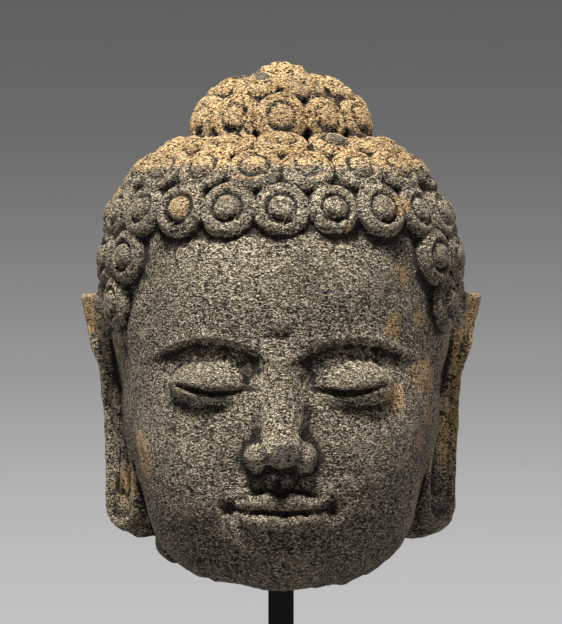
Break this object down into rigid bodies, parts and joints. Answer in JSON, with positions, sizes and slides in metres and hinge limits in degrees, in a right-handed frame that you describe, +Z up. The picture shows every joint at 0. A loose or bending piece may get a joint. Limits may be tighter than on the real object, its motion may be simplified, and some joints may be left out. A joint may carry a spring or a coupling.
{
  "type": "buddha head sculpture",
  "caption": "Carved stone Buddha head with snail-shell curls, a bun on the crown and long ears, held up by a square steel post that stands in a flat steel plate.",
  "frame": {"origin": "centre of the base plate's underside", "axes": "+Z up; the face looks along -Y; +X is to the right of a viewer who faces it"},
  "size_m": [0.2563, 0.2563, 0.4551],
  "materials": {
    "stone": "rough, pitted grey-brown volcanic stone with light specks and a tan patina on what faces up",
    "black_steel": "satin black paint"
  },
  "bodies": {
    "root": {"head": "stone", "post": "black_steel", "base_plate": "black_steel"}
  },
  "joints": []
}
